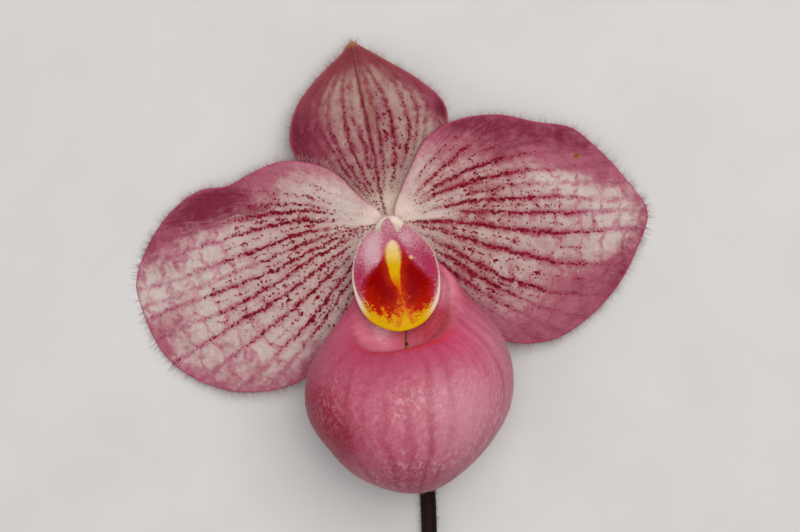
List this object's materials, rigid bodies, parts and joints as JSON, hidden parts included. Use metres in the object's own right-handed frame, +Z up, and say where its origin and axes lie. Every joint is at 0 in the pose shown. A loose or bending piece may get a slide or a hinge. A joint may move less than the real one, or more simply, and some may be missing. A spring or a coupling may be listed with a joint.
{
  "type": "slipper orchid flower",
  "caption": "Cut slipper orchid flower on its stem, laid on its back: pink-veined petals and sepals, an inflated pink pouch and a red and yellow shield at the centre.",
  "frame": {"origin": "middle of the bounding box, on the surface that the flower lies on", "axes": "+Y from the cut end of the stem towards the top sepal, +Z up, the way the flower faces, +X to the right seen from the front"},
  "size_m": [0.0922, 0.1824, 0.039],
  "materials": {
    "stem": "downy dark maroon plant stem",
    "bract": "dull green plant tissue",
    "ovary": "ribbed, downy brown-green plant tissue",
    "sepal": "satin petal tissue, cream and rose with dark veins",
    "petal": "satin petal tissue, cream with rose edges and spotted veins",
    "pouch": "satin, finely downy rose petal tissue",
    "column": "waxy cream plant tissue",
    "staminode": "waxy, deep red and yellow",
    "stigma": "moist pale green",
    "anther": "sticky yellow"
  },
  "bodies": {
    "root": {"stem": "stem", "bract": "bract", "ovary": "ovary", "lower_sepal": "sepal", "top_sepal": "sepal", "petal_left": "petal", "petal_right": "petal", "pouch": "pouch", "column": "column", "staminode": "staminode", "stigma": "stigma", "anther_left": "anther", "anther_right": "anther"}
  },
  "joints": []
}
